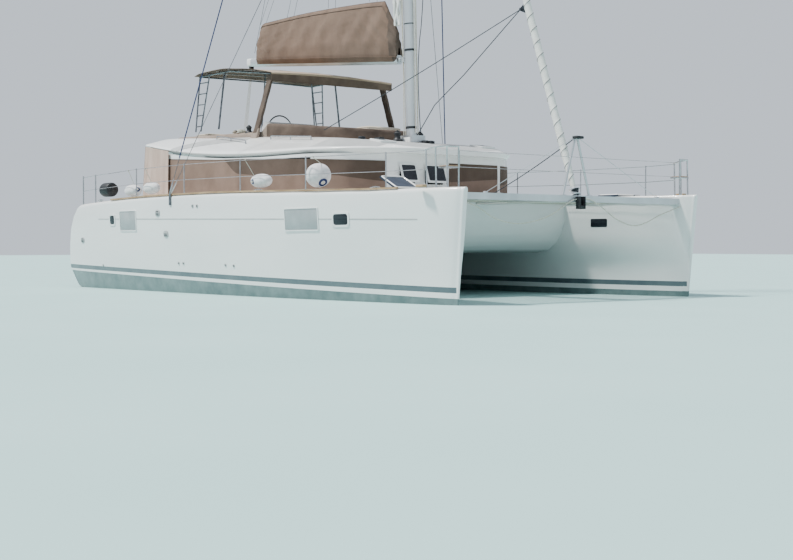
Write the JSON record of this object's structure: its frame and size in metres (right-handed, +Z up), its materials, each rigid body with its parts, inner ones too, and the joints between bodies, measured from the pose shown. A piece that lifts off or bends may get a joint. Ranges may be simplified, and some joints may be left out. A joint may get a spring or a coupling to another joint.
{
  "type": "sailing catamaran",
  "caption": "Cruising catamaran under bare poles: slender hulls joined by a bridge deck with saloon and flybridge, raked mast with stowed sails, sun roof, nets and rails.",
  "frame": {"origin": "on the waterline, amidships, on the centre line", "axes": "+X forward, +Y to port, +Z up"},
  "size_m": [13.9124, 7.8752, 21.9],
  "materials": {
    "gelcoat_white": "polished gelcoat",
    "deck_white": "satin gelcoat",
    "window_glass": "tinted",
    "hatch_acrylic": "smoked acrylic in a pale frame",
    "cover_fabric": "woven acrylic mesh",
    "cushion_fabric": "woven",
    "sun_roof_fabric": "stretched canvas",
    "sail_bag_fabric": "woven acrylic",
    "sail_cloth": "rolled sailcloth",
    "netting": "knotted mesh",
    "teak": "oiled",
    "stainless": "polished",
    "spar_aluminium": "anodised",
    "dark_fitting": "matt",
    "bronze": "cast",
    "drive_grey": "painted",
    "antifouling": "matt antifouling paint",
    "rope": "laid rope",
    "fender_cloth": "knitted cover"
  },
  "bodies": {
    "boat": {"hull_port": "gelcoat_white", "hull_starboard": "gelcoat_white", "bridge_deck": "gelcoat_white", "coachroof": "gelcoat_white", "deckhouse_bulkhead": "gelcoat_white", "helm_console": "gelcoat_white", "deckhouse_side_port": "deck_white", "deckhouse_side_starboard": "deck_white", "deckhouse_front": "deck_white", "walkway": "deck_white", "glass_side_port": "window_glass", "glass_side_starboard": "window_glass", "glass_front": "window_glass", "cover_side_port": "cover_fabric", "cover_side_starboard": "cover_fabric", "cover_front": "cover_fabric", "flybridge_coaming": "cover_fabric", "flybridge_seats": "cushion_fabric", "cockpit_seats": "cushion_fabric", "saloon_furniture": "cushion_fabric", "sun_roof": "sun_roof_fabric", "furled_foresail": "sail_cloth", "net_port": "netting", "net_starboard": "netting", "toe_rail_port": "teak", "toe_rail_starboard": "teak", "rail_port": "stainless", "rail_starboard": "stainless", "shrouds_port": "stainless", "shrouds_starboard": "stainless", "bow_wires": "stainless", "beam_strut": "stainless", "sun_roof_frame": "stainless", "mast": "spar_aluminium", "fore_beam": "spar_aluminium", "bow_roller": "dark_fitting", "saildrive_port": "drive_grey", "saildrive_starboard": "drive_grey", "engine_port": "drive_grey", "engine_starboard": "drive_grey", "bridle_port": "rope", "bridle_starboard": "rope", "fender_a": "fender_cloth", "fender_b": "fender_cloth", "fender_c": "fender_cloth", "fender_d": "fender_cloth"},
    "boom_and_bag": {"boom": "spar_aluminium", "sail_bag": "sail_bag_fabric"},
    "rudder_port": {"rudder_port": "antifouling"},
    "rudder_starboard": {"rudder_starboard": "antifouling"},
    "helm_wheel": {"helm_wheel": "stainless"},
    "propeller_port": {"propeller_port": "bronze"},
    "propeller_starboard": {"propeller_starboard": "bronze"},
    "saloon_door": {"saloon_door": "window_glass"},
    "deck_hatch_port": {"deck_hatch_port": "hatch_acrylic"},
    "deck_hatch_starboard": {"deck_hatch_starboard": "hatch_acrylic"},
    "engine_lid_port": {"engine_lid_port": "deck_white"},
    "engine_lid_starboard": {"engine_lid_starboard": "deck_white"}
  },
  "joints": [
    {"name": "boom_swing", "type": "hinge", "parent": "boat", "child": "boom_and_bag", "pos_m": [1.57, 0, 4.99], "axis": [0, 0, 1], "range_deg": [-45, 45]},
    {"name": "rudder_port_turn", "type": "hinge", "parent": "boat", "child": "rudder_port", "pos_m": [-5.85, 3.08, -0.5], "axis": [0, 0, 1], "range_deg": [-35, 35]},
    {"name": "rudder_starboard_turn", "type": "hinge", "parent": "boat", "child": "rudder_starboard", "pos_m": [-5.85, -3.08, -0.5], "axis": [0, 0, 1], "range_deg": [-35, 35]},
    {"name": "helm_wheel_turn", "type": "hinge", "parent": "boat", "child": "helm_wheel", "pos_m": [-2.42, -0.5, 3.705], "axis": [1, 0, 0], "range_deg": [-350, 350]},
    {"name": "propeller_port_spin", "type": "hinge", "parent": "boat", "child": "propeller_port", "pos_m": [-4.79, 3.08, -0.76], "axis": [1, 0, 0], "continuous": true},
    {"name": "propeller_starboard_spin", "type": "hinge", "parent": "boat", "child": "propeller_starboard", "pos_m": [-4.79, -3.08, -0.76], "axis": [1, 0, 0], "continuous": true},
    {"name": "saloon_door_slide", "type": "slide", "parent": "boat", "child": "saloon_door", "axis": [0, 1, 0], "range_m": [0, 1]},
    {"name": "deck_hatch_port_lift", "type": "hinge", "parent": "boat", "child": "deck_hatch_port", "pos_m": [5.24, 2.925, 2.03], "axis": [0, 1, 0], "range_deg": [0, 90]},
    {"name": "deck_hatch_starboard_lift", "type": "hinge", "parent": "boat", "child": "deck_hatch_starboard", "pos_m": [5.24, -2.925, 2.03], "axis": [0, 1, 0], "range_deg": [-26, 64]},
    {"name": "engine_lid_port_lift", "type": "hinge", "parent": "boat", "child": "engine_lid_port", "pos_m": [-4.03, 3.15, 2.075], "axis": [0, 1, 0], "range_deg": [0, 85]},
    {"name": "engine_lid_starboard_lift", "type": "hinge", "parent": "boat", "child": "engine_lid_starboard", "pos_m": [-4.03, -3.15, 2.075], "axis": [0, 1, 0], "range_deg": [0, 85]}
  ],
  "couplings": [
    {"joint": "rudder_starboard_turn", "follows": "rudder_port_turn", "ratio": 1},
    {"joint": "helm_wheel_turn", "follows": "rudder_port_turn", "ratio": 10}
  ]
}
